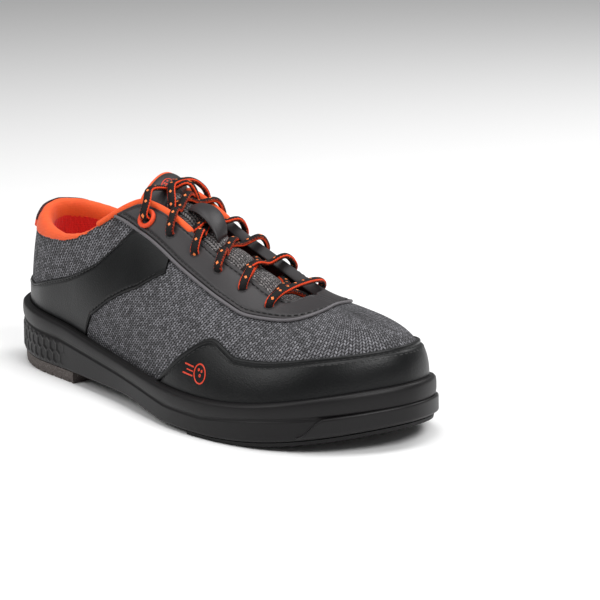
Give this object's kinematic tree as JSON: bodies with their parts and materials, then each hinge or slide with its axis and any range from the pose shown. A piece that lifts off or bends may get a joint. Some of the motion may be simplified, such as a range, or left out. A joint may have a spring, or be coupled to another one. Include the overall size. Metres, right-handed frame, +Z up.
{
  "type": "bowling shoe",
  "caption": "Lace-up bowling shoe for the right foot, with a knit upper, leather overlays, a padded collar and peel-off sole and heel pads.",
  "frame": {"origin": "middle of the whole shoe's footprint box, on the ground", "axes": "+X towards the toe, +Y towards the other foot (medial), +Z up"},
  "size_m": [0.3016, 0.1132, 0.1145],
  "materials": {
    "rubber": "moulded outsole rubber, satin",
    "leather_black": "smooth synthetic leather, semi-gloss",
    "leather_grey": "smooth synthetic leather, satin",
    "knit": "coarse heather spacer knit",
    "lining_black": "brushed textile lining",
    "lining_red": "terry textile lining",
    "collar_orange": "padded stretch textile binding",
    "felt": "dense grey-brown heel felt-rubber pad",
    "hook_loop": "hook-and-loop tape",
    "foam": "open-cell and EVA foam, hidden",
    "board": "fibre board and thermoformed stiffener, hidden",
    "steel": "sprung steel and washers",
    "cord": "woven corded ring",
    "lace": "flat woven lace, black with orange edges",
    "aglet": "clear film tip"
  },
  "bodies": {
    "shoe_body": {"cupsole": "rubber", "toe_bumper": "rubber", "heel_hook_layer": "hook_loop", "sole_hook_layer": "hook_loop", "heel_wedge": "foam", "shank": "steel", "insole_board": "board", "insole": "lining_red", "vamp_mesh": "knit", "vamp_lining": "lining_black", "quarter_mesh_lateral": "knit", "quarter_mesh_medial": "knit", "collar_lining": "lining_red", "toe_puff": "board", "heel_counter": "board", "collar_foam": "foam", "collar_binding": "collar_orange", "toe_guard": "leather_black", "side_panel_lateral": "leather_black", "side_panel_medial": "leather_black", "eyestay": "leather_grey", "heel_tab": "leather_black", "throat_binding_lateral": "collar_orange", "throat_binding_medial": "collar_orange", "lace": "lace", "aglet_lateral": "aglet", "aglet_medial": "aglet", "eyelet_ring_lateral": "cord", "washer_lateral": "steel", "eyelet_ring_medial": "cord", "washer_medial": "steel"},
    "tongue_body": {"tongue": "knit", "tongue_lining": "lining_black", "tongue_top_panel": "leather_grey", "tongue_binding": "collar_orange", "tongue_keeper": "leather_grey"},
    "sole_pad_body": {"sole_pad": "rubber", "sole_pad_backing": "hook_loop"},
    "heel_pad_body": {"heel_pad": "felt", "heel_pad_backing": "hook_loop"}
  },
  "joints": [
    {"name": "tongue_tilt", "type": "hinge", "parent": "shoe_body", "child": "tongue_body", "pos_m": [0.081, 0.004, 0.05], "axis": [0, 1, 0], "range_deg": [-4, 0], "stiffness_Nm_per_rad": 0.3, "springref_deg": 5.73, "deforming": ["lace"]},
    {"name": "sole_pad_peel", "type": "slide", "parent": "shoe_body", "child": "sole_pad_body", "axis": [0, 0, -1], "range_m": [0, 0.03]},
    {"name": "heel_pad_peel", "type": "slide", "parent": "shoe_body", "child": "heel_pad_body", "axis": [0, 0, -1], "range_m": [0, 0.03]}
  ]
}
